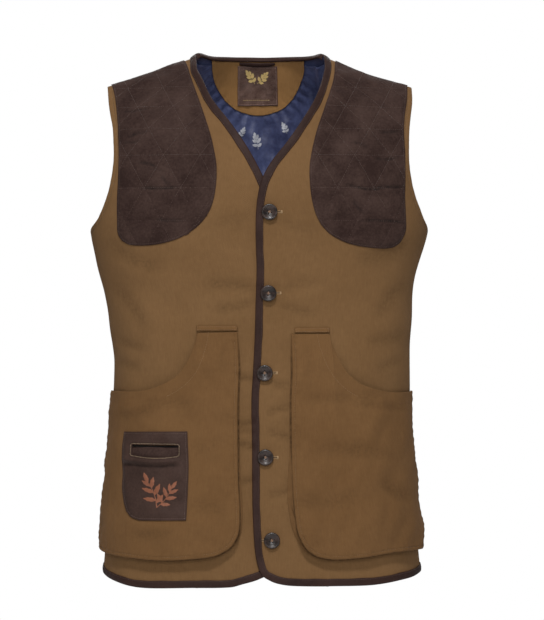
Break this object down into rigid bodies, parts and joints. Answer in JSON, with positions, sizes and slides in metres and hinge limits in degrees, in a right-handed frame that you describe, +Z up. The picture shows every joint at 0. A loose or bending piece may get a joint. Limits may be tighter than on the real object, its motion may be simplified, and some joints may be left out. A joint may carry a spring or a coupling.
{
  "type": "leather-trimmed shooting vest",
  "caption": "Sleeveless cloth shooting vest with quilted leather shoulder patches, leather bindings, two bellows pockets, a small leather ticket pocket and buttons down the front.",
  "frame": {"origin": "midway between the two shoulder seams, at the height of their neck ends less about 20 mm, where a wearer's shoulders carry the vest", "axes": "+Z up, -Y towards the front with the buttons, +X towards the wearer's left, the viewer's right"},
  "size_m": [0.4449, 0.2691, 0.6969],
  "materials": {
    "moleskin": "brushed cotton moleskin, tan, fine twill nap",
    "patch_suede": "dark brown suede, matt",
    "binding_leather": "dark brown leather, slightly glossy",
    "brown_leather": "brown leather, matt",
    "navy_satin": "navy satin",
    "horn": "dark imitation horn, polished"
  },
  "bodies": {
    "root": {"front_left": "moleskin", "front_right": "moleskin", "back": "moleskin", "back_lining": "navy_satin", "back_neck_facing": "moleskin", "neck_label": "brown_leather", "hanger_loop": "binding_leather", "binding_front_left": "binding_leather", "binding_front_right": "binding_leather", "binding_back_neck": "binding_leather", "binding_back_hem": "binding_leather", "shoulder_patch_left": "patch_suede", "shoulder_patch_right": "patch_suede", "pocket_left": "moleskin", "pocket_right": "moleskin", "pocket_bar_left": "moleskin", "pocket_bar_right": "moleskin", "ticket_pocket": "brown_leather", "ticket_pocket_welt": "patch_suede", "button_1": "horn", "button_2": "horn", "button_3": "horn", "button_4": "horn", "button_5": "horn"}
  },
  "joints": []
}
